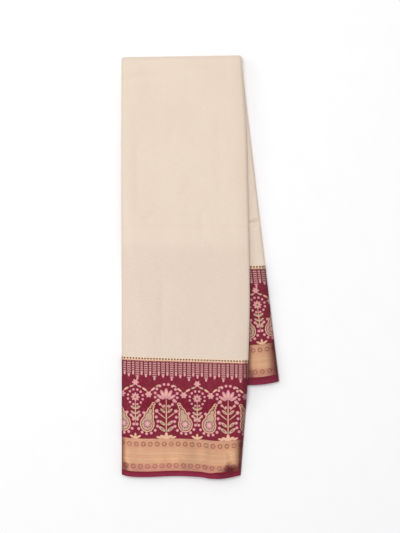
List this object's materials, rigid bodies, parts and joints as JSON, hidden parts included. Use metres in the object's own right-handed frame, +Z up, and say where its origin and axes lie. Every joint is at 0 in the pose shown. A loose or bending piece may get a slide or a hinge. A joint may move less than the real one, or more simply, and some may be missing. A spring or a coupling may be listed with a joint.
{
  "type": "folded saree",
  "caption": "Folded silk saree, pressed into a long narrow bundle and turned over at the top so its two bordered ends hang one above the other; lies flat on a table or shelf.",
  "frame": {"origin": "on the surface the folded saree lies on, at the centre of its footprint", "axes": "+Y along the bundle towards the cross fold, +X towards the side the back leg is swung to, +Z up off the surface through the face that shows"},
  "size_m": [0.2396, 0.6444, 0.0184],
  "materials": {
    "cream_silk": "soft sheen, fine self-woven mottle",
    "maroon_silk": "soft sheen, woven figures in gold, pink and beige",
    "gold_zari": "metallic thread, brushed sheen"
  },
  "bodies": {
    "root": {"front_field": "cream_silk", "front_figured": "maroon_silk", "front_zari": "gold_zari", "front_selvedge": "maroon_silk", "top_fold": "cream_silk", "back_field": "cream_silk", "back_figured": "maroon_silk", "back_zari": "gold_zari", "back_selvedge": "maroon_silk", "inner_layers": "cream_silk"}
  },
  "joints": []
}
